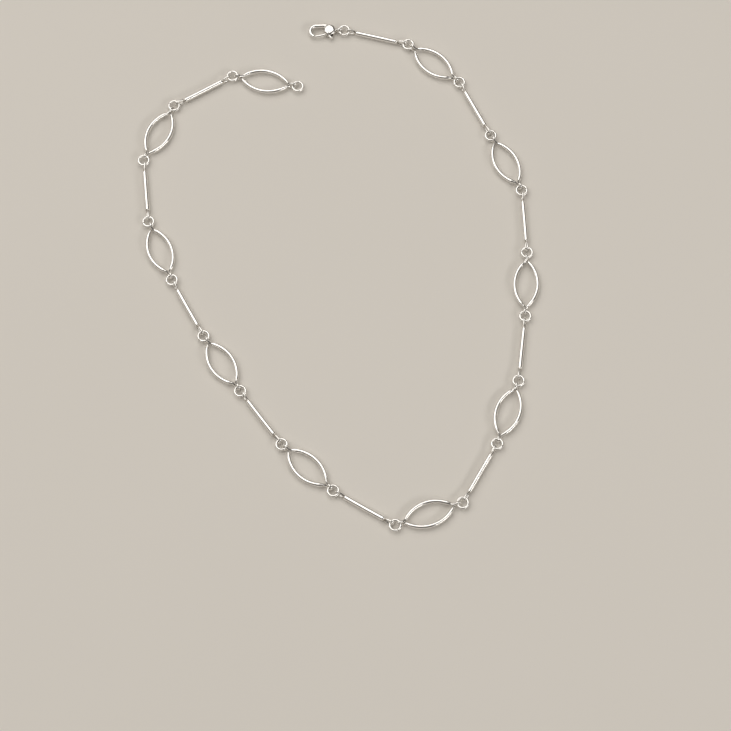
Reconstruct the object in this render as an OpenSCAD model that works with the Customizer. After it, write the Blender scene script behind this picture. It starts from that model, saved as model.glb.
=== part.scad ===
// Chain necklace of open marquise links and straight bar links joined by round jump rings,
// laid flat as an open loop, with a lobster claw clasp at one end. Millimetres, +Z up.
// The origin is the middle of the loop's bounding box on the surface that it lies on.

/* [Chain] */
// Distance from the centre of one jump ring to the centre of the next
pitch = 24.3; // [23.5:0.1:26]
// Height of the chain's middle plane over the surface it lies on
mid_z = 1.45; // [1.45:0.05:2]
// How far the links' end eyes lean from upright
eye_lean = 16; // [0:1:17]

/* [Jump rings] */
// Radius of a ring's wire centreline
ring_r = 1.85; // [1.8:0.05:2]
// Diameter of the ring wire
ring_wire = 0.9; // [0.8:0.05:0.9]

/* [Marquise links] */
// Width across the outside of the open marquise
marquise_w = 9.7; // [8:0.1:10.4]
// Length between the two points where the side wires meet
marquise_l = 17.2; // [16:0.1:17.4]
// Diameter of the marquise wire
marquise_wire = 1.45; // [1.2:0.05:1.5]
// Diameter of the wire in a marquise link's end eyes
marquise_eye_wire = 0.84; // [0.8:0.02:0.84]
// Radius of an end eye's wire centreline
marquise_eye_r = 1.03; // [1.03:0.01:1.05]

/* [Bar links] */
// Diameter of the rod
bar_d = 1.7; // [1.4:0.05:1.8]
// Length of the full-thickness rod between its two shoulders
bar_l = 14.6; // [13:0.1:14.8]
// Diameter of the wire in a bar link's end eyes
bar_eye_wire = 0.74; // [0.7:0.02:0.76]
// Radius of the rounded ends of an eye, on its wire centreline
bar_eye_r = 0.97; // [0.97:0.01:1]
// Length of an eye's straight sides
bar_eye_straight = 1.3; // [1:0.1:1.4]

/* [Clasp] */
// Direction in which the clasp points, in degrees from +X
clasp_heading = 182; // [178:1:186]
// Thickness of the clasp's housing
clasp_t = 2.8; // [2.6:0.1:2.9]
// Radius of the clasp's round housing
housing_r = 2.3; // [2.2:0.1:2.6]
// Radius of the hook's bend, on its centreline
hook_r = 2.2; // [2:0.1:2.4]
// Diameter of the hook's round section
hook_d = 1.5; // [1.3:0.1:1.6]
// Thickness of the lever's plate
lever_t = 1.1; // [1:0.1:1.2]
// Diameter of the rivet that the lever turns on
rivet_d = 0.64; // [0.6:0.02:0.7]

/* [Hidden] */
$fn = 48;
// The way each link points as the chain lies, in degrees from +X, from the catch ring to the clasp
headings = [-190, -150, -115, -84, -68, -61, -57, -53, -43, -30, 19, 60, 71, 83, 87, 93, 116, 117, 140, 166];
links = len(headings);
function way(a) = [cos(a), sin(a)];
// Ring centres, each one pitch on from the one before, counted from the catch ring
function walk(k) = k == 0 ? [0, 0] : walk(k - 1) + pitch * way(headings[k - 1]);
raw = [for (k = [0:links]) walk(k)];
// The widest points of the loop: its rings, and the outer side of each marquise at its middle
side = [for (k = [1:2:links]) (raw[k - 1] + raw[k]) / 2 + marquise_w / 2 * way(headings[k - 1] - 90)];
ring_edge = ring_r + ring_wire / 2;
low_x = min(concat([for (p = raw) p.x - ring_edge], [for (p = side) p.x]));
high_x = max(concat([for (p = raw) p.x + ring_edge], [for (p = side) p.x]));
low_y = min(concat([for (p = raw) p.y - ring_edge], [for (p = side) p.y]));
high_y = max(concat([for (p = raw) p.y + ring_edge], [for (p = side) p.y]));
centre = [low_x + high_x, low_y + high_y] / 2;
// Ring centres in the part's own frame
ring_at = [for (p = raw) p - centre];
// Where the wire of the next ring passes through a link's eye, from the link's middle
eye_x = pitch / 2 - ring_r;
// The eyes of link k lean towards the front of the loop
function lean(k) = way(headings[k - 1]).x < 0 ? eye_lean : -eye_lean;
// The marquise's side wires are arcs through their meeting points and the widest point
meet_y = 0.45;
// The ball of solder and twisted wire where they meet, and how far past the point its centre is
neck_r = 1;
neck_past = 0.05;
side_rise = (marquise_w - marquise_wire) / 2 - meet_y;
side_r = (pow(marquise_l / 2, 2) + pow(side_rise, 2)) / (2 * side_rise);
side_half = asin(marquise_l / 2 / side_r);
// A bar's shoulder, thinner than the rod and let into its end
shoulder_d = 1.2;
shoulder_l = 0.95;
shoulder_in = 0.3;
// The clasp, measured along its own axis from the centre of its ring
housing_x = 5.4;
housing_y = -0.2;
housing_edge = 0.6;
hook_x = 10.4;
hook_tip = 74;
pivot = [6.2, 1.25];
gate_end = [10.65, 2.1];
play = 0.05;
// The slot's back corner, and a size that takes it past the housing's open sides and short of the hook
slot_at = [4.2, -0.45];
slot_reach = 4.5;
// The lever: the size of its hub, of the round gate arm, and of the tab and the way that it points
hub_d = 1.9;
gate_d = 1;
tab_w = 1.1;
tab_l = 2.1;
tab_turn = 128;
// How far from the rivet's centre the arm and the tab begin, inside the hub
lever_root = 0.6;
// The spring's strip: its thickness, its width and its two legs
strip = 0.12;
strip_w = 0.8;
strip_legs = [1.5, 1.2];
strip_at = [4.35, -0.42];
function two(k) = str(k < 10 ? "0" : "", k);
bar_names = [for (k = [1:links / 2]) str("bar_link_", two(k))];
marquise_names = [for (k = [1:links / 2]) str("marquise_link_", two(k))];
ring_names = [for (k = [1:links - 1]) str("jump_ring_", two(k))];
clasp_names = ["catch_ring", "clasp_ring", "clasp_body", "clasp_lever", "clasp_rivet", "clasp_spring"];

// Puts a link's own frame, X along the link from its middle, where link k lies
module link_place(k) {
    middle = (ring_at[k - 1] + ring_at[k]) / 2;
    translate([middle.x, middle.y, mid_z]) rotate([0, 0, headings[k - 1]]) children();
}

// A wire of diameter d bent round Z to the radius r, from the angle a over the angle sweep
module bent_wire(r, d, a, sweep) {
    rotate([0, 0, a]) rotate_extrude(angle = sweep) translate([r, 0]) circle(d = d);
}

// Both ends of a link, the second turned round from the first
module both_ends() {
    for (turn = [0, 180]) rotate([0, 0, turn]) children();
}

// An open marquise: two bowed wires, pinched together at each end into a nearly upright eye
module marquise_link(k) {
    color("gainsboro") link_place(k) {
        for (flip = [0, 180]) rotate([0, 0, flip]) {
            translate([0, side_rise + meet_y - side_r, 0])
                bent_wire(side_r, marquise_wire, 90 - side_half, 2 * side_half);
        }
        rotate([lean(k), 0, 0]) both_ends() {
            translate([marquise_l / 2 + neck_past, 0, 0]) sphere(r = neck_r);
            translate([eye_x, 0, 0]) rotate([90, 0, 0])
                bent_wire(marquise_eye_r, marquise_eye_wire, 0, 360);
        }
    }
}

// A straight bar: a round rod with a shoulder and a narrow, nearly upright oval eye at each end
module bar_link(k) {
    color("gainsboro") link_place(k) rotate([lean(k), 0, 0]) {
        translate([-bar_l / 2, 0, 0]) rotate([0, 90, 0]) cylinder(d = bar_d, h = bar_l);
        both_ends() {
            translate([bar_l / 2 - shoulder_in, 0, 0]) rotate([0, 90, 0])
                cylinder(d = shoulder_d, h = shoulder_l);
            bar_eye();
        }
    }
}

// The oval eye at a bar's end, with the next ring's wire through the middle of its outer bend
module bar_eye() {
    translate([eye_x, 0, 0]) rotate([90, 0, 0]) {
        bent_wire(bar_eye_r, bar_eye_wire, -90, 180);
        translate([-bar_eye_straight, 0, 0]) bent_wire(bar_eye_r, bar_eye_wire, 90, 180);
        for (y = [-bar_eye_r, bar_eye_r]) translate([-bar_eye_straight, y, 0])
            rotate([0, 90, 0]) cylinder(d = bar_eye_wire, h = bar_eye_straight);
    }
}

// A round jump ring lying level round the centre of ring place k, counted from the catch ring
module jump_ring(k) {
    color("gainsboro") translate([ring_at[k].x, ring_at[k].y, mid_z])
        bent_wire(ring_r, ring_wire, 0, 360);
}

// Puts the clasp's own frame, X along the clasp from its ring's centre, where the clasp lies
module clasp_place() {
    translate([ring_at[links].x, ring_at[links].y, mid_z]) rotate([0, 0, clasp_heading]) children();
}

// The cast body: an upright tail eye, a round housing slotted for the lever, a spine and a hook
module clasp_body() {
    color("gainsboro") clasp_place() difference() {
        union() {
            translate([ring_r, 0, 0]) rotate([90, 0, 0])
                bent_wire(marquise_eye_r, marquise_eye_wire, 0, 360);
            housing();
            translate([housing_x, -hook_r, 0]) rotate([0, 90, 0])
                cylinder(d = hook_d, h = hook_x - housing_x);
            translate([hook_x, 0, 0]) bent_wire(hook_r, hook_d, -90, 90 + hook_tip);
        }
        lever_slot();
        translate([pivot.x, pivot.y, -clasp_t]) cylinder(d = rivet_d, h = 2 * clasp_t);
    }
}

// A round disc with softened edges
module housing() {
    flat = clasp_t / 2 - housing_edge;
    translate([housing_x, housing_y, 0]) rotate_extrude() {
        translate([0, -clasp_t / 2]) square([housing_r - housing_edge, clasp_t]);
        translate([0, -flat]) square([housing_r, 2 * flat]);
        for (y = [-flat, flat]) translate([housing_r - housing_edge, y]) circle(r = housing_edge);
    }
}

// The space that the lever turns in, open on the gate's side of the housing
module lever_slot() {
    slot_h = lever_t + 4 * play;
    translate([slot_at.x, slot_at.y, -slot_h / 2]) cube([slot_reach, slot_reach, slot_h]);
}

// The lever: a hub on the rivet, a gate arm that closes the hook and a thumb tab
module clasp_lever() {
    color("silver") clasp_place() difference() {
        union() {
            translate([pivot.x, pivot.y, -lever_t / 2]) cylinder(d = hub_d, h = lever_t);
            gate_arm();
            thumb_tab();
        }
        translate([pivot.x, pivot.y, -lever_t]) cylinder(d = rivet_d + 2 * play, h = 2 * lever_t);
    }
}

// The arm from just past the rivet to the hook's tip
module gate_arm() {
    reach = gate_end - pivot;
    translate([pivot.x, pivot.y, 0]) rotate([0, 0, atan2(reach.y, reach.x)])
        translate([lever_root, 0, 0]) rotate([0, 90, 0])
            cylinder(d = gate_d, h = norm(reach) - lever_root);
}

// The tab that a fingernail draws outwards, a flat tongue with a round end
module thumb_tab() {
    translate([pivot.x, pivot.y, -lever_t / 2]) rotate([0, 0, tab_turn]) {
        translate([lever_root, -tab_w / 2, 0]) cube([tab_l - lever_root, tab_w, lever_t]);
        translate([tab_l, 0, 0]) cylinder(d = tab_w, h = lever_t);
    }
}

// The rivet through the housing's two cheeks and the lever
module clasp_rivet() {
    color("silver") clasp_place() translate([pivot.x, pivot.y, -clasp_t / 2])
        cylinder(d = rivet_d, h = clasp_t);
}

// A bent spring strip between the slot's back wall and the lever's hub
module clasp_spring() {
    color("silver") clasp_place() translate([strip_at.x, strip_at.y, -strip_w / 2]) {
        cube([strip, strip_legs.y, strip_w]);
        cube([strip_legs.x, strip, strip_w]);
    }
}

for (k = [1:links / 2]) {
    marquise_link(2 * k - 1);
    bar_link(2 * k);
}
for (k = [1:links - 1]) {
    jump_ring(k);
}
jump_ring(0);  // catch_ring
jump_ring(links);  // clasp_ring
clasp_body();
clasp_lever();
clasp_rivet();
clasp_spring();
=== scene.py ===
import bpy
import numpy as np
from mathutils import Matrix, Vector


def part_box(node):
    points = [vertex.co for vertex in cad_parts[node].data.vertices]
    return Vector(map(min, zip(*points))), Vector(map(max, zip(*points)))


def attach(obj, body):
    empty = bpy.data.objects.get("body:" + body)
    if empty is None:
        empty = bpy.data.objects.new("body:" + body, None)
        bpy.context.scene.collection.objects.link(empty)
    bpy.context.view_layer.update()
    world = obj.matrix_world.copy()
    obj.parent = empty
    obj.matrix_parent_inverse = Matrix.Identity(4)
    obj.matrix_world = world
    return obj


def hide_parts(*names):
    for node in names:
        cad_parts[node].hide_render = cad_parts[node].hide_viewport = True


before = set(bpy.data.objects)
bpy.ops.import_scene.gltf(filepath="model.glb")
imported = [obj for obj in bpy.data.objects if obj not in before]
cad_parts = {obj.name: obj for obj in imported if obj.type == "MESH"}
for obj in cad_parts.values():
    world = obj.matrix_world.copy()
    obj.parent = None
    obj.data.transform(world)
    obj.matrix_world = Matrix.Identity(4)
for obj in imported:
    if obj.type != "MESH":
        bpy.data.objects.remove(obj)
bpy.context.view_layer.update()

# ---------------------------------------------------------------------------------------------
# Marquise links: each one is a single closed loop of round sterling wire. It is bent to two bows,
# pinched at both ends, given nearly a quarter twist there so that each end is a narrow upright eye,
# and polished. The wire is drawn thinner where it goes round the eyes.
# ---------------------------------------------------------------------------------------------
MM = 0.001
LINKS = 20
bow_wire_r = 0.725
neck_wire_r = 0.485
eye_wire_r = 0.42
bow_rise = 4.125
bow_chord = 8.6
bow_meet = 0.45
bow_end = 7.8
neck_x = 8.95
neck_gap = 0.5
eye_x = 10.3
eye_r = 1.03
eye_open = 128
eye_lean = np.radians(16)
twist_from, twist_to = 8.1, 9.6
neck_pull, flare_pull = (0.75, 0.62), (0.26, 0.24)
wire_step = 0.14
lay_apart, ring_lay = 37.0, 19


def ring_name(k):
    """Ring k, counted from the free end of the chain to the clasp."""
    return "catch_ring" if k == 0 else "clasp_ring" if k == LINKS else f"jump_ring_{k:02d}"


ring_at = np.array([np.mean(np.array(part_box(ring_name(k))), axis=0) / MM for k in range(LINKS + 1)])
along = np.diff(ring_at, axis=0)
heading = np.arctan2(along[:, 1], along[:, 0])
lean = np.where(np.cos(heading) < 0, eye_lean, -eye_lean)


def placed(points, middle, turn):
    """Points in a piece's own frame, turned about Z by an angle and moved to their place."""
    c, s = np.cos(turn), np.sin(turn)
    return points @ np.array([[c, s, 0], [-s, c, 0], [0, 0, 1]]) + middle


def unit(v):
    """Each vector divided by its length."""
    return v / np.maximum(np.linalg.norm(v, axis=-1, keepdims=True), 1e-12)


def bezier(a, b, c, d, n):
    """A cubic Bezier curve's points: the four control points weighted by the Bernstein polynomials."""
    t = np.linspace(0, 1, n, endpoint=False)[:, None]
    s = 1 - t
    return s**3 * np.array(a) + 3 * s * s * t * np.array(b) + 3 * s * t * t * np.array(c) + t**3 * np.array(d)


def smooth(x, low, high):
    """0 below low, 1 above high, and 3t^2 - 2t^3 between."""
    t = np.clip((x - low) / (high - low), 0, 1)
    return t * t * (3 - 2 * t)


def evenly(path, step, *with_path):
    """The path, and the values along it, read again at equal steps of its length by linear interpolation."""
    run = np.concatenate([[0], np.cumsum(np.linalg.norm(np.diff(path, axis=0), axis=1))])
    at = np.linspace(0, run[-1], int(round(run[-1] / step)) + 1)
    read = [
        np.stack([np.interp(at, run, c) for c in np.atleast_2d(v.T)], axis=-1)
        for v in (path, *with_path)
    ]
    return at, *read


def alike(way, path):
    """The same direction at every point of a path."""
    return np.tile(way, (len(path), 1))


def tube(path, side, wide, high, rim=24, closed=False):
    """An ellipse carried along a path. At path point P, with T the way the path runs there, N = side made
    square to T and B = T x N, the surface is P + wide cos(a) N + high sin(a) B for a from 0 to a full turn.
    An open path's ends are each closed by one point. Returns points, quads, and each point's
    (length along, cos a, sin a), where the length runs up to half way and back down again."""
    if closed:
        run = np.roll(path, -1, axis=0) - np.roll(path, 1, axis=0)
    else:
        run = np.gradient(path, axis=0)
    T = unit(run)
    N = unit(side - np.sum(side * T, axis=1, keepdims=True) * T)
    B = np.cross(T, N)
    a = np.linspace(0, 2 * np.pi, rim, endpoint=False)
    ca, sa = np.cos(a)[None, :, None], np.sin(a)[None, :, None]
    wide, high = np.reshape(wide, (-1, 1, 1)), np.reshape(high, (-1, 1, 1))
    points = path[:, None] + wide * ca * N[:, None] + high * sa * B[:, None]
    n = len(path)
    length = np.concatenate([[0], np.cumsum(np.linalg.norm(np.diff(path, axis=0), axis=1))])
    length = length[-1] / 2 - np.abs(length - length[-1] / 2)
    lay = np.stack(np.broadcast_arrays(length[:, None, None], ca, sa), axis=-1).reshape(n * rim, 3)
    i = np.arange(n if closed else n - 1)[:, None]
    j = np.arange(rim)[None, :]
    i1, j1 = (i + 1) % n, (j + 1) % rim
    around = np.broadcast_arrays(i * rim + j, i1 * rim + j, i1 * rim + j1, i * rim + j1)
    quads = np.stack(around, -1).reshape(-1, 4)
    points = points.reshape(-1, 3)
    faces = [quads]
    if not closed:
        points = np.concatenate([points, path[[0, -1]]])
        lay = np.concatenate([lay, [[length[0], 0, 0], [length[-1], 0, 0]]])
        start, end, last = n * rim, n * rim + 1, (n - 1) * rim
        j, j1 = j.ravel(), j1.ravel()
        faces += [
            np.stack([np.full(rim, start), j, j1], -1),
            np.stack([np.full(rim, end), last + j1, last + j], -1),
        ]
    return points, faces, lay


def outward(points, faces):
    """The faces, turned over if the volume that they enclose, a sum over their triangles of p . (q x r) / 6,
    comes out negative."""
    volume = 0.0
    for f in faces:
        p, q, r = points[f[:, 0]], points[f[:, 1]], points[f[:, 2]]
        volume += np.sum(p * np.cross(q, r))
        if f.shape[1] == 4:
            volume += np.sum(p * np.cross(r, points[f[:, 3]]))
    return faces if volume > 0 else [f[:, ::-1] for f in faces]


def solid(name, shells, recess=None):
    """One mesh object from shells of (points in mm, faces, lay). It carries lay as the attribute the drawn
    lines follow, and recess, from 0 to 1, where polishing doesn't reach."""
    points, faces, lays, base = [], [], [], 0
    for p, f, l in shells:
        faces += [g + base for g in outward(p, f)]
        points.append(p)
        lays.append(l)
        base += len(p)
    points, lays = np.concatenate(points), np.concatenate(lays)
    mesh = bpy.data.meshes.new(name)
    mesh.from_pydata((points * MM).tolist(), [], [q for f in faces for q in f.tolist()])
    mesh.polygons.foreach_set("use_smooth", np.ones(len(mesh.polygons), dtype=bool))
    drawn = mesh.attributes.new("lay", "FLOAT_VECTOR", "POINT")
    drawn.data.foreach_set("vector", lays.astype(np.float32).ravel())
    deep = np.zeros(len(points)) if recess is None else recess
    mesh.attributes.new("recess", "FLOAT", "POINT").data.foreach_set("value", deep.astype(np.float32))
    mesh.update()
    piece = bpy.data.objects.new(name, mesh)
    bpy.context.scene.collection.objects.link(piece)
    return piece


def group_socket(group, name, kind, way="INPUT", default=None):
    """A named socket on a node group, with its usual value."""
    s = group.interface.new_socket(name=name, in_out=way, socket_type=kind)
    if default is not None:
        s.default_value = default
    return s


def maths(tree, operation, a, b=None, clamp=False):
    """A Math node; a and b are sockets or numbers."""
    n = tree.nodes.new("ShaderNodeMath")
    n.operation, n.use_clamp = operation, clamp
    for socket, value in zip(n.inputs, (a, b)):
        if isinstance(value, (int, float)):
            socket.default_value = value
        elif value is not None:
            tree.links.new(value, socket)
    return n.outputs[0]


def blended(tree, amount, a, b):
    """A Mix node for colours, a where amount is 0 and b where it is 1."""
    n = tree.nodes.new("ShaderNodeMix")
    n.data_type = "RGBA"
    tree.links.new(amount, n.inputs["Factor"])
    for socket, value in ((n.inputs[6], a), (n.inputs[7], b)):
        if isinstance(value, tuple):
            socket.default_value = value
        else:
            tree.links.new(value, socket)
    return n.outputs[2]


def noise(tree, vector, scale, detail=2.0, rough=0.5):
    """A Noise texture's value at a vector."""
    n = tree.nodes.new("ShaderNodeTexNoise")
    n.inputs["Scale"].default_value = scale
    n.inputs["Detail"].default_value = detail
    n.inputs["Roughness"].default_value = rough
    tree.links.new(vector, n.inputs["Vector"])
    return n.outputs["Fac"]


def stretched(tree, vector, scale, shift=(0, 0, 0)):
    """A Mapping node that scales and shifts a vector."""
    n = tree.nodes.new("ShaderNodeMapping")
    n.inputs["Scale"].default_value = scale
    n.inputs["Location"].default_value = shift
    tree.links.new(vector, n.inputs["Vector"])
    return n.outputs["Vector"]


def band(tree, value, low, high):
    """0 where the value is low or less and 1 where it is high or more."""
    n = tree.nodes.new("ShaderNodeMapRange")
    n.interpolation_type = "SMOOTHSTEP"
    n.inputs["From Min"].default_value = low
    n.inputs["From Max"].default_value = high
    tree.links.new(value, n.inputs["Value"])
    return n.outputs["Result"]


def streaks(tree, vector, turn):
    """Thin straight marks, all running one way: the high tail of a noise that is drawn out along the axis
    that the three angles of turn give."""
    n = tree.nodes.new("ShaderNodeVectorRotate")
    n.rotation_type = "EULER_XYZ"
    n.inputs["Rotation"].default_value = turn
    tree.links.new(vector, n.inputs["Vector"])
    drawn_out = stretched(tree, n.outputs["Vector"], (420.0, 9000.0, 9000.0))
    return band(tree, noise(tree, drawn_out, 1.0, 0.0), 0.7, 0.74)


def metal_wear():
    """What use does to a small polished metal piece: faint lines along the way the wire was drawn, fine
    straight scratches that run three ways, soft cloudy patches where skin has dulled it, and darker tarnish
    where no cloth reaches. Puts out a colour, a roughness and a height."""
    g = bpy.data.node_groups.new("metal_wear", "ShaderNodeTree")
    group_socket(g, "Bright", "NodeSocketColor", default=(0.93, 0.92, 0.90, 1))
    group_socket(g, "Tarnish", "NodeSocketColor", default=(0.45, 0.41, 0.36, 1))
    group_socket(g, "Polish", "NodeSocketFloat", default=0.08)
    group_socket(g, "Lines", "NodeSocketFloat", default=1.0)
    group_socket(g, "Scratches", "NodeSocketFloat", default=1.0)
    group_socket(g, "Color", "NodeSocketColor", "OUTPUT")
    group_socket(g, "Roughness", "NodeSocketFloat", "OUTPUT")
    group_socket(g, "Height", "NodeSocketFloat", "OUTPUT")
    given, out = g.nodes.new("NodeGroupInput"), g.nodes.new("NodeGroupOutput")
    lay = g.nodes.new("ShaderNodeAttribute")
    lay.attribute_name = "lay"
    deep = g.nodes.new("ShaderNodeAttribute")
    deep.attribute_name = "recess"
    place = g.nodes.new("ShaderNodeTexCoord").outputs["Object"]
    drawn = noise(g, stretched(g, lay.outputs["Vector"], (0.22, 7.0, 7.0)), 1.0, 3.0, 0.62)
    cloud = noise(g, place, 260.0, 3.0, 0.55)
    hairline = maths(g, "MAXIMUM", streaks(g, place, (0.3, 0.5, 0.2)), streaks(g, place, (1.1, -0.7, 0.9)))
    hairline = maths(g, "MAXIMUM", hairline, streaks(g, place, (-0.6, 0.2, 2.2)))
    sparse = band(g, noise(g, place, 1400.0, 2.0), 0.5, 0.62)
    scratch = maths(g, "MULTIPLY", maths(g, "MULTIPLY", hairline, sparse), given.outputs["Scratches"])
    dull = band(g, cloud, 0.42, 0.72)
    clinging = maths(g, "ADD", maths(g, "MULTIPLY", cloud, 0.8), 0.55)
    grime = maths(g, "MULTIPLY", deep.outputs["Fac"], clinging, True)
    line_part = maths(g, "MULTIPLY", maths(g, "SUBTRACT", drawn, 0.5), given.outputs["Lines"])
    film = maths(g, "ADD", maths(g, "MULTIPLY", dull, 0.10), maths(g, "MULTIPLY", scratch, 0.10))
    film = maths(g, "ADD", film, maths(g, "MULTIPLY", line_part, 0.16), True)
    tone = blended(g, film, given.outputs["Bright"], given.outputs["Tarnish"])
    g.links.new(blended(g, grime, tone, given.outputs["Tarnish"]), out.inputs["Color"])
    rough = maths(g, "ADD", given.outputs["Polish"], maths(g, "MULTIPLY", dull, 0.05))
    rough = maths(g, "ADD", rough, maths(g, "MULTIPLY", line_part, 0.09))
    rough = maths(g, "ADD", rough, maths(g, "MULTIPLY", scratch, 0.12))
    rough = maths(g, "ADD", rough, maths(g, "MULTIPLY", grime, 0.25))
    g.links.new(maths(g, "MAXIMUM", rough, 0.03, True), out.inputs["Roughness"])
    height = maths(g, "SUBTRACT", maths(g, "MULTIPLY", line_part, 0.8), maths(g, "MULTIPLY", scratch, 0.6))
    g.links.new(height, out.inputs["Height"])
    return g


def metal(name, bright, tarnish, polish, lines=1.0, scratches=1.0, depth=0.4):
    """A polished metal with the wear above; depth is the bump's strength, on marks a few microns deep."""
    m = bpy.data.materials.new(name)
    m.use_nodes = True
    t = m.node_tree
    shader = t.nodes["Principled BSDF"]
    shader.inputs["Metallic"].default_value = 1.0
    w = t.nodes.new("ShaderNodeGroup")
    w.node_tree = bpy.data.node_groups.get("metal_wear") or metal_wear()
    w.inputs["Bright"].default_value = (*bright, 1)
    w.inputs["Tarnish"].default_value = (*tarnish, 1)
    w.inputs["Polish"].default_value = polish
    w.inputs["Lines"].default_value = lines
    w.inputs["Scratches"].default_value = scratches
    t.links.new(w.outputs["Color"], shader.inputs["Base Color"])
    t.links.new(w.outputs["Roughness"], shader.inputs["Roughness"])
    bump = t.nodes.new("ShaderNodeBump")
    bump.inputs["Strength"].default_value = depth
    bump.inputs["Distance"].default_value = 0.000006
    t.links.new(w.outputs["Height"], bump.inputs["Height"])
    t.links.new(bump.outputs["Normal"], shader.inputs["Normal"])
    return m


def quarter_wire(bow_rise, bow_r):
    """From the middle of a bow to the far side of an eye, as (distance along the link, distance off its
    axis): an arc of a circle, an S bend into the neck, a flare out of it, and the arc of the eye.
    neck_pull and flare_pull say how strongly the two ends of the bend and of the flare keep their way."""
    centre = bow_rise - bow_r
    t = np.linspace(0, np.arcsin(bow_end / bow_r), 60, endpoint=False)
    bow = np.stack([bow_r * np.sin(t), centre + bow_r * np.cos(t)], axis=1)
    b = np.arcsin(bow_end / bow_r)
    a = np.array([bow_end, centre + bow_r * np.cos(b)])
    fall = np.array([np.cos(b), -np.sin(b)])
    neck = np.array([neck_x, neck_gap])
    o = np.radians(eye_open)
    mouth = np.array([eye_x + eye_r * np.cos(o), eye_r * np.sin(o)])
    rise = np.array([np.sin(o), -np.cos(o)])
    into = bezier(a, a + neck_pull[0] * fall, neck - [neck_pull[1], 0], neck, 20)
    flare = bezier(neck, neck + [flare_pull[0], 0], mouth - flare_pull[1] * rise, mouth, 10)
    e = np.linspace(o, 0, 36)
    eye = np.stack([eye_x + eye_r * np.cos(e), eye_r * np.sin(e)], axis=1)
    return np.concatenate([bow, into, flare, eye])


def marquise_wire(rise, twist):
    """The link's whole loop in its own frame. Distance along X is x, distance off the axis is d, and the
    turn is q, which goes from 0 to the twist through the neck: the wire is at (x, d cos q, d sin q).
    The four quarters are this one with x and d each kept or negated. Returns the loop, the way that is
    square to it at each point, (0, -sin q, cos q), and the wire's radius."""
    r = (bow_chord**2 + (rise - bow_meet) ** 2) / (2 * (rise - bow_meet))
    x, d = quarter_wire(rise, r).T
    q = twist * smooth(x, twist_from, twist_to)
    x = np.concatenate([x, x[-2::-1], -x[1:], -x[-2:0:-1]])
    d = np.concatenate([d, -d[-2::-1], -d[1:], d[-2:0:-1]])
    q = np.concatenate([q, q[-2::-1], q[1:], q[-2:0:-1]])
    loop = np.stack([x, d * np.cos(q), d * np.sin(q)], axis=1)
    loop = np.concatenate([loop, loop[:1]])
    side = np.stack([0 * q, -np.sin(q), np.cos(q)], axis=1)
    side = np.concatenate([side, side[:1]])
    _, loop, side = evenly(loop, wire_step, side)
    far = np.abs(loop[:-1, 0])
    radius = bow_wire_r - (bow_wire_r - neck_wire_r) * smooth(far, 7.0, 8.5)
    return loop[:-1], side[:-1], radius - (neck_wire_r - eye_wire_r) * smooth(far, 9.0, 9.9)


chance = np.random.default_rng(20)
silver = metal("polished_silver", (0.94, 0.93, 0.91), (0.40, 0.36, 0.31), 0.085)
for k in range(1, LINKS + 1, 2):
    name = f"marquise_link_{(k + 1) // 2:02d}"
    tilt = lean[k - 1]
    twist = np.sign(-tilt) * (np.pi / 2 - abs(tilt))
    path, side, radius = marquise_wire(bow_rise - chance.uniform(0.0, 0.07), twist)
    points, faces, lay = tube(path, side, radius, radius, rim=24, closed=True)
    far, off = np.abs(points[:, 0]), np.hypot(points[:, 1], points[:, 2])
    recess = smooth(far, 8.0, 8.6) * (1 - smooth(far, 9.2, 9.8)) * (1 - smooth(off, 0.12, 0.62))
    in_eye = 1 - smooth(np.hypot(far - eye_x, points[:, 2]), 0.55, 0.7)
    recess = np.maximum(recess, 0.7 * smooth(far, 9.6, 10.3) * in_eye)
    lay[:, 0] += lay_apart * k
    middle = (ring_at[k - 1] + ring_at[k]) / 2
    link = solid(name, [(placed(points, middle, heading[k - 1]), faces, lay)], recess)
    link.data.materials.append(silver)
    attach(link, name)
    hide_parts(name)

# ---------------------------------------------------------------------------------------------
# Bar links: each is a straight round rod of sterling silver with softly turned shoulders. A thinner
# wire is bent to a narrow eye at each end, and its two legs are soldered side by side into the rod.
# ---------------------------------------------------------------------------------------------
rod_r = 0.85
rod_flat = 7.1
rod_end = 8.05
leg_wire_r = 0.37
bar_eye_r = 0.97
leg_in = 7.4
bar_eye_open = 98
bar_wire_step = 0.12


def rolled_over(points, a):
    """Points in a link's own frame, turned about X by the angle a."""
    c, s = np.cos(a), np.sin(a)
    return points @ np.array([[1, 0, 0], [0, c, s], [0, -s, c]])


def rod(bow):
    """The rod, a circle carried along X. Its radius is full up to the shoulders and then falls as a quarter
    of an ellipse to the ends. A bow of a few hundredths of a millimetre shows that it was made by hand."""
    x = rod_end * np.sin(np.linspace(-np.pi / 2, np.pi / 2, 121))
    x = np.sign(x) * np.minimum(np.abs(x), rod_end - 1e-4)
    over = np.clip((np.abs(x) - rod_flat) / (rod_end - rod_flat), 0, 1)
    r = rod_r * np.sqrt(np.maximum(1 - over**2.6, 1e-4))
    path = np.stack([x, bow * (1 - (x / rod_end) ** 2), 0 * x], axis=1)
    return tube(path, alike([0.0, 1.0, 0.0], path), r, r, rim=28)


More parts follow.
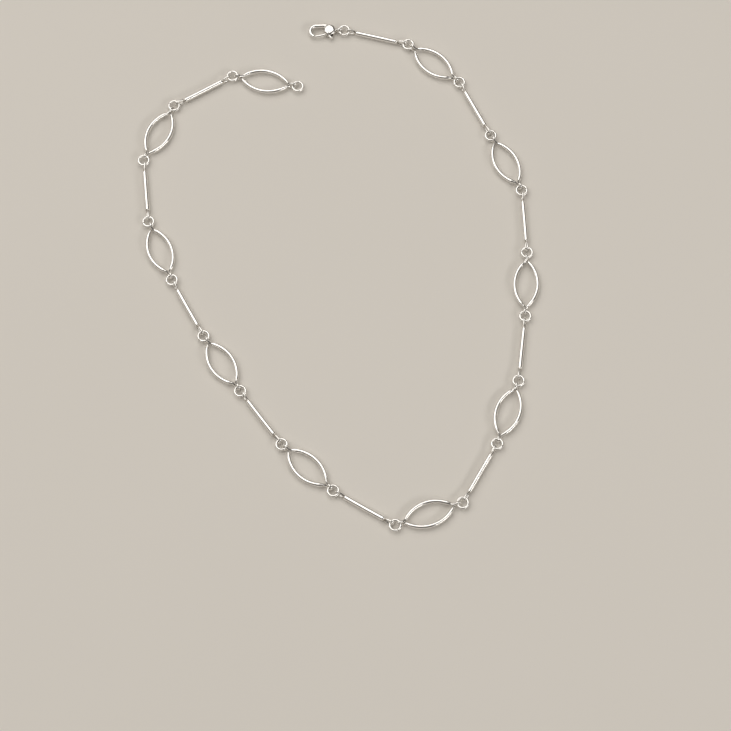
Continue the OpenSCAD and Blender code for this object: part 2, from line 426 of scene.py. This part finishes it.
def bar_eye(way):
    """The eye's wire: out of the rod on one side, round an arc of the eye in the upright plane, and back
    into the rod on the other. way is 1 or -1 for the end that it is on."""
    o = np.radians(bar_eye_open)
    mouth = np.array([eye_x + bar_eye_r * np.cos(o), bar_eye_r * np.sin(o)])
    leg = np.array([leg_in, leg_wire_r])
    out = bezier(leg, leg + [0.95, 0.02], mouth - [1.15, 0.12], mouth, 24)
    e = np.linspace(o, -o, 60)
    arc = np.stack([eye_x + bar_eye_r * np.cos(e), bar_eye_r * np.sin(e)], axis=1)
    half = np.concatenate([out, arc, np.concatenate([out[::-1] * [1, -1]])])
    loop = np.stack([way * half[:, 0], 0 * half[:, 0], half[:, 1]], axis=1)
    _, loop = evenly(loop, bar_wire_step)
    return tube(loop, alike([0.0, 1.0, 0.0], loop), leg_wire_r, leg_wire_r, rim=20)


for k in range(2, LINKS + 1, 2):
    name = f"bar_link_{k // 2:02d}"
    shells = [rod(chance.uniform(-0.05, 0.05)), bar_eye(1), bar_eye(-1)]
    middle = (ring_at[k - 1] + ring_at[k]) / 2
    own = np.concatenate([p for p, _, _ in shells])
    far = np.abs(own[:, 0])
    recess = smooth(far, 7.6, 8.0) * (1 - smooth(far, 8.2, 8.9)) * 0.8
    in_eye = 1 - smooth(np.hypot(far - eye_x, own[:, 2]), 0.57, 0.72)
    recess = np.maximum(recess, 0.7 * smooth(far, 9.6, 10.3) * in_eye)
    rolled = [(rolled_over(p, lean[k - 1]), f, l + [lay_apart * k, 0, 0]) for p, f, l in shells]
    link = solid(name, [(placed(p, middle, heading[k - 1]), f, l) for p, f, l in rolled], recess)
    link.data.materials.append(silver)
    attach(link, name)
    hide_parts(name)

# ---------------------------------------------------------------------------------------------
# Jump rings: round sterling wire wound on a rod, cut, threaded through two eyes and closed. The cut
# ends meet at a butt joint, which shows as a fine line across the wire at one side of each ring.
# ---------------------------------------------------------------------------------------------
ring_r = 1.85
ring_wire_r = 0.45
joint_width = 0.05
joint_depth = 0.13
ring_rim = 22


def jump_ring(joint, step_up):
    """A circle of wire round Z, with the butt joint at the angle joint. The steps are finest there. The
    wire's radius dips by joint_depth over joint_width as a bell curve, and its two ends differ in height by
    step_up, which fades out over the rest of the ring."""
    t = np.linspace(-1, 1, 181)[:-1]
    turn = np.pi * np.sign(t) * (0.25 * np.abs(t) + 0.75 * np.abs(t) ** 3)
    gap = ring_r * turn
    r = ring_wire_r - joint_depth * np.exp(-((gap / joint_width) ** 2))
    rounded = 0.02 * np.exp(-((gap / (4 * joint_width)) ** 2))
    lift = 0.5 * step_up * np.tanh(gap / joint_width) * (1 - smooth(np.abs(turn), 0.3, 3.0))
    a = turn + joint
    path = np.stack([ring_r * np.cos(a), ring_r * np.sin(a), lift], axis=1)
    r = r - rounded
    points, faces, lay = tube(path, alike([0.0, 0.0, 1.0], path), r, r, rim=ring_rim, closed=True)
    deep = np.repeat(np.exp(-((gap / (1.6 * joint_width)) ** 2)), ring_rim)
    return points, faces, lay, deep


for k in range(LINKS + 1):
    name = ring_name(k)
    across = heading[min(k, LINKS - 1)] + chance.choice([-1, 1]) * np.pi / 2 + chance.uniform(-0.35, 0.35)
    points, faces, lay, deep = jump_ring(across, chance.uniform(-0.04, 0.04))
    lay[:, 0] += lay_apart * k + ring_lay
    ring = solid(name, [(points + ring_at[k], faces, lay)], deep)
    ring.data.materials.append(silver)
    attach(ring, name)
    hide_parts(name)

# ---------------------------------------------------------------------------------------------
# Clasp body: a lobster claw cast in sterling silver in one piece and tumbled smooth. A tail eye hangs on
# the clasp ring, a thick round housing is slotted for the lever, and a spine runs on into the hook.
# ---------------------------------------------------------------------------------------------
tail_x, tail_r = 1.85, 1.03
housing_at, housing_r, housing_half = np.array([5.4, -0.2, 0.0]), 2.3, 1.4
spine_y, hook_x, hook_bend, hook_wire_r, hook_tip = -2.2, 10.4, 2.2, 0.75, 75
pivot = np.array([6.2, 1.25, 0.0])
slot_low, slot_high = np.array([4.2, -0.45, -0.65]), np.array([8.7, 4.05, 0.65])
rivet_off = np.mean(np.array(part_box("clasp_rivet")), axis=0) / MM - ring_at[LINKS]
clasp_turn = np.arctan2(rivet_off[1], rivet_off[0]) - np.arctan2(pivot[1], pivot[0])


def straight(a, b, n):
    """n points from a to b, the last one left out."""
    return np.linspace(a, b, n, endpoint=False)


def blunt(length, total, over, power=2.0):
    """A share of the full radius, which falls as a superellipse over the last stretch of a path of that
    total length: (1 - t^power)^(1/power), with t from 0 to 1 over the stretch."""
    t = np.clip((length - (total - over)) / over, 0, 0.9999)
    return (1 - t**power) ** (1 / power)


def housing():
    """A disc whose rim is a superellipse: at height z its radius is R (1 - |z / h|^3)^(1/3)."""
    z = housing_half * np.sin(np.linspace(-np.pi / 2, np.pi / 2, 40)) * 0.99999
    r = housing_r * (1 - np.abs(z / housing_half) ** 3) ** (1 / 3)
    path = housing_at + np.stack([0 * z, 0 * z, z], axis=1)
    return tube(path, alike([1.0, 0.0, 0.0], path), r, r, rim=96)


def hook():
    """A round section along an S bend out of the housing, a straight spine and the arc of the hook. The
    tip is rounded off."""
    a = np.radians(np.linspace(-90, hook_tip, 60))
    bend = np.stack([hook_x + hook_bend * np.cos(a), hook_bend * np.sin(a)], axis=1)
    root = bezier([4.3, -0.9], [5.2, -1.75], [6.0, spine_y], [7.2, spine_y], 20)
    path = np.concatenate([root, straight([7.2, spine_y], [hook_x, spine_y], 20), bend])
    length, path = evenly(np.concatenate([path, np.zeros((len(path), 1))], axis=1), 0.09)
    slimmer = 0.09 * smooth(length, length[-1] - 4.5, length[-1])
    r = (hook_wire_r - slimmer) * blunt(length, length[-1], 0.42, 2.6)
    return tube(path, alike([0.0, 0.0, 1.0], path), r, r, rim=32)


def tail():
    """The upright eye, and the neck that widens from it into the housing as an ellipse along X."""
    t = np.linspace(0, 2 * np.pi, 60, endpoint=False)
    eye = np.stack([tail_x + tail_r * np.cos(t), 0 * t, tail_r * np.sin(t)], axis=1)
    x = np.linspace(2.62, 4.6, 40)
    end = blunt(4.6 - x, 1.98, 0.3)
    wide = (0.44 + 0.8 * smooth(x, 3.0, 4.6)) * end
    high = (0.72 + 0.5 * smooth(x, 3.0, 4.6)) * end
    neck = np.stack([x, -0.05 - 0 * x, 0 * x], axis=1)
    return [
        tube(eye, alike([0.0, 1.0, 0.0], eye), eye_wire_r, eye_wire_r, rim=24, closed=True),
        tube(neck, alike([0.0, 1.0, 0.0], neck), wide, high, rim=32),
    ]


def block(low, high):
    """The eight corners and six faces of a box."""
    bits = (np.arange(8)[:, None] >> np.arange(3)) & 1
    faces = np.array([[0, 2, 3, 1], [4, 5, 7, 6], [0, 1, 5, 4], [2, 6, 7, 3], [0, 4, 6, 2], [1, 3, 7, 5]])
    points = low + bits * (high - low)
    return points, [faces], points


def raw(name, shells):
    """A mesh object of the shells in millimetres, for the modifiers below."""
    points, faces, base = [], [], 0
    for p, f, _ in shells:
        faces += [q for g in outward(p, f) for q in (g + base).tolist()]
        points += p.tolist()
        base += len(p)
    mesh = bpy.data.meshes.new(name)
    mesh.from_pydata(points, [], faces)
    piece = bpy.data.objects.new(name, mesh)
    bpy.context.scene.collection.objects.link(piece)
    return piece


def cast(name, shells, voxel, flow, cut=None):
    """One skin over all the shells, as the metal runs together in the mould: a voxel remesh, then smoothing
    that rounds the inner corners. cut is a box that is taken out first. Works in millimetres, then moves the
    points to the clasp's place."""
    rough = raw(name + "_rough", shells)
    spare = [rough]
    skin = rough.modifiers.new("skin", "REMESH")
    skin.mode, skin.voxel_size = "VOXEL", voxel
    if cut is not None:
        knife = raw(name + "_knife", [block(*cut)])
        spare.append(knife)
        saw = rough.modifiers.new("slot", "BOOLEAN")
        saw.operation, saw.object, saw.solver = "DIFFERENCE", knife, "EXACT"
        again = rough.modifiers.new("skin_again", "REMESH")
        again.mode, again.voxel_size = "VOXEL", voxel
    ease = rough.modifiers.new("flow", "SMOOTH")
    ease.factor, ease.iterations = 0.5, flow
    bpy.context.view_layer.update()
    mesh = bpy.data.meshes.new_from_object(rough.evaluated_get(bpy.context.evaluated_depsgraph_get()))
    for o in spare:
        bpy.data.objects.remove(o)
    own = np.empty(len(mesh.vertices) * 3)
    mesh.vertices.foreach_get("co", own)
    own = own.reshape(-1, 3)
    mesh.vertices.foreach_set("co", (placed(own, ring_at[LINKS], clasp_turn) * MM).ravel())
    mesh.polygons.foreach_set("use_smooth", np.ones(len(mesh.polygons), dtype=bool))
    drawn = mesh.attributes.new("lay", "FLOAT_VECTOR", "POINT")
    drawn.data.foreach_set("vector", own.astype(np.float32).ravel())
    mesh.update()
    piece = bpy.data.objects.new(name, mesh)
    bpy.context.scene.collection.objects.link(piece)
    return piece, own


def deepened(piece, recess):
    """Gives a piece its recess attribute."""
    piece.data.attributes.new("recess", "FLOAT", "POINT").data.foreach_set("value", recess.astype(np.float32))


body, own = cast("clasp_body", [housing(), hook(), *tail()], 0.06, 12, cut=(slot_low, slot_high))
inside = np.all((own > slot_low - 0.1) & (own < slot_high + 0.1), axis=1) & (np.abs(own[:, 2]) < 0.72)
at_neck = smooth(own[:, 0], 2.4, 2.9) * (1 - smooth(own[:, 0], 3.3, 3.9))
crook = at_neck * (1 - smooth(np.abs(own[:, 2]), 0.3, 1.1))
deepened(body, np.maximum(0.9 * inside, 0.5 * crook))
cast_silver = metal("cast_silver", (0.94, 0.93, 0.91), (0.40, 0.36, 0.31), 0.11, lines=0.45, scratches=1.3)
body.data.materials.append(cast_silver)
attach(body, "clasp")
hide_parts("clasp_body")

# ---------------------------------------------------------------------------------------------
# Clasp lever: cast in silver and turning on the rivet. Its hub sits in the slot, a gate arm shuts the
# hook, and a tab stands out for the thumbnail. The tab's ribs are not shaped; they are only darker
# stripes in its colour.
# ---------------------------------------------------------------------------------------------
hub_in, hub_out, lever_half = 0.38, 0.95, 0.55
gate_end = np.array([10.8, 2.13, 0.0])
tab_turn = np.radians(128)
rib_pitch = 0.3


def lever():
    """The hub is an ellipse carried round the rivet. The gate arm is a round section that bows a little
    outwards, by a sine, and is rounded at its end. The tab is an ellipse along its own direction."""
    t = np.linspace(0, 2 * np.pi, 48, endpoint=False)
    ring = pivot + (hub_in + hub_out) / 2 * np.stack([np.cos(t), np.sin(t), 0 * t], axis=1)
    hub_wire = (hub_out - hub_in) / 2
    shells = [tube(ring, alike([0.0, 0.0, 1.0], ring), lever_half, hub_wire, rim=24, closed=True)]
    reach = gate_end - pivot
    far = unit(reach)
    across = np.array([-far[1], far[0], 0])
    u = np.linspace(0.72, np.linalg.norm(reach) - 0.01, 60)
    bow = 0.14 * np.sin(np.pi * (u - 0.72) / (u[-1] - 0.72))
    path = pivot + u[:, None] * far + bow[:, None] * across
    r = (0.5 - 0.05 * (u - u[0]) / (u[-1] - u[0])) * blunt(u, u[-1], 0.26, 2.6)
    shells.append(tube(path, alike([0.0, 0.0, 1.0], path), r, r, rim=28))
    out = np.array([np.cos(tab_turn), np.sin(tab_turn), 0])
    u = np.linspace(0.72, 2.62, 50)
    cap = blunt(u, u[-1], 0.52)
    path = pivot + u[:, None] * out
    shells.append(tube(path, alike([0.0, 0.0, 1.0], path), 0.53 * cap**0.7, 0.5 * cap, rim=28))
    return shells


gate, own = cast("clasp_lever", lever(), 0.045, 7)
up_tab = (own - pivot) @ np.array([np.cos(tab_turn), np.sin(tab_turn), 0])
rib = np.cos(2 * np.pi * up_tab / rib_pitch)
near_tab = smooth(up_tab, 1.2, 1.5)
deepened(gate, 0.5 * near_tab * (rib < -0.6) + 0.6 * (np.linalg.norm((own - pivot)[:, :2], axis=1) < 1.0))
gate.data.materials.append(cast_silver)
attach(gate, "clasp_lever")
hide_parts("clasp_lever")

# ---------------------------------------------------------------------------------------------
# Rivet: a short silver pin through both cheeks of the housing and the lever's hub. Its two ends are
# peened over into low domed heads.
# ---------------------------------------------------------------------------------------------
pin_r, head_r, head_z = 0.32, 0.47, 1.36

z = np.concatenate([-1.45 + 0.09 * np.linspace(0, 1, 10) ** 1.6, [-head_z + 0.001, 0.0, head_z - 0.001]])
z = np.concatenate([z, -z[9::-1]])
z[-1], z[0] = 1.4499, -1.4499
dome = np.sqrt(np.clip(1 - (np.abs(z) - head_z) / 0.0901, 1e-4, 1))
r = np.where(np.abs(z) >= head_z, head_r * dome, pin_r)
path = pivot + np.stack([0 * z, 0 * z, z], axis=1)
pin, faces, lay = tube(path, alike([1.0, 0.0, 0.0], path), r, r, rim=40)
edge = np.exp(-(((np.hypot(*(pin - pivot)[:, :2].T) - head_r) / 0.04) ** 2))
rivet = solid("clasp_rivet", [(placed(pin, ring_at[LINKS], clasp_turn), faces, pin * 3)], edge)
rivet.data.materials.append(cast_silver)
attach(rivet, "clasp")
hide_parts("clasp_rivet")

# ---------------------------------------------------------------------------------------------
# Spring: a strip of hard spring steel bent to an L in the back of the slot. It stands free there, 0.03 mm
# off the housing, and stops about 0.65 mm short of the lever's hub, which a real one presses on.
# ---------------------------------------------------------------------------------------------
strip_half, strip_wide = 0.055, 0.39

legs = np.concatenate(
    [
        straight([4.41, 0.76, 0], [4.41, -0.1, 0], 14),
        bezier([4.41, -0.1, 0], [4.41, -0.3, 0], [4.5, -0.36, 0], [4.68, -0.36, 0], 14),
        straight([4.68, -0.36, 0], [5.83, -0.36, 0], 16),
    ]
)
strip, faces, lay = tube(legs, alike([0.0, 0.0, 1.0], legs), strip_wide, strip_half, rim=20)
spring = solid("clasp_spring", [(placed(strip, ring_at[LINKS], clasp_turn), faces, lay)])
spring.data.materials.append(metal("spring_steel", (0.56, 0.57, 0.58), (0.30, 0.27, 0.24), 0.26, lines=1.6))
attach(spring, "clasp")
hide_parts("clasp_spring")

# ---------------------------------------------------------------------------------------------
# The stage: a plain pale floor of smooth paper. Soft studio light comes from a large panel high up at the
# back left, a narrow strip at the front right, and a sky that is pale at the horizon and dark above.
# ---------------------------------------------------------------------------------------------


def floor_material():
    """A smooth matt paper sweep with a very faint mottle."""
    m = bpy.data.materials.new("pale_floor")
    m.use_nodes = True
    t = m.node_tree
    shader = t.nodes["Principled BSDF"]
    shader.inputs["Roughness"].default_value = 0.9
    shader.inputs["Specular IOR Level"].default_value = 0.15
    place = t.nodes.new("ShaderNodeTexCoord").outputs["Object"]
    soft = noise(t, place, 9.0, 4.0)
    t.links.new(blended(t, soft, (0.78, 0.75, 0.70, 1), (0.80, 0.77, 0.72, 1)), shader.inputs["Base Color"])
    return m


reach, floor_z = 30.0, -0.00002
corners = [(x * reach, y * reach, floor_z) for x, y in ((-1, -1), (1, -1), (1, 1), (-1, 1))]
floor_mesh = bpy.data.meshes.new("floor")
floor_mesh.from_pydata(corners, [], [(0, 1, 2, 3)])
floor_mesh.materials.append(floor_material())
floor = bpy.data.objects.new("floor", floor_mesh)
bpy.context.scene.collection.objects.link(floor)


def panel(name, place, towards, size, power, colour):
    """A rectangular soft light that faces a point."""
    lamp = bpy.data.lights.new(name, "AREA")
    lamp.shape, lamp.size, lamp.size_y = "RECTANGLE", *size
    lamp.energy, lamp.color = power, colour
    o = bpy.data.objects.new(name, lamp)
    bpy.context.scene.collection.objects.link(o)
    o.location = place
    aim = Vector(towards) - Vector(place)
    o.rotation_euler = aim.to_track_quat("-Z", "Y").to_euler()
    return o


panel("key", (-0.55, 0.55, 1.55), (0, 0, 0), (2.8, 2.2), 28.0, (1.0, 0.965, 0.915))
panel("strip", (1.05, -0.75, 0.75), (0, 0, 0), (1.2, 0.28), 5.0, (1.0, 0.975, 0.94))

world = bpy.data.worlds.new("studio")
bpy.context.scene.world = world
world.use_nodes = True
sky = world.node_tree
rise = sky.nodes.new("ShaderNodeSeparateXYZ")
sky.links.new(sky.nodes.new("ShaderNodeTexCoord").outputs["Generated"], rise.inputs[0])
ramp = sky.nodes.new("ShaderNodeValToRGB")
ramp.color_ramp.elements[0].position, ramp.color_ramp.elements[0].color = 0.0, (0.80, 0.72, 0.63, 1)
ramp.color_ramp.elements[1].position, ramp.color_ramp.elements[1].color = 0.14, (0.15, 0.14, 0.13, 1)
sky.links.new(rise.outputs["Z"], ramp.inputs["Fac"])
sky.links.new(ramp.outputs["Color"], sky.nodes["Background"].inputs["Color"])
bpy.context.scene.view_settings.view_transform = "Standard"

camera = bpy.data.objects.new("camera", bpy.data.cameras.new("camera"))
bpy.context.scene.collection.objects.link(camera)
camera.data.lens, camera.data.sensor_width = 102.1, 36.0
camera.location = (0.0104, -0.2863, 0.6782)
looked_at = Vector((0.0104, -0.0367, 0.0))
camera.rotation_euler = (looked_at - camera.location).to_track_quat("-Z", "Y").to_euler()
bpy.context.scene.camera = camera
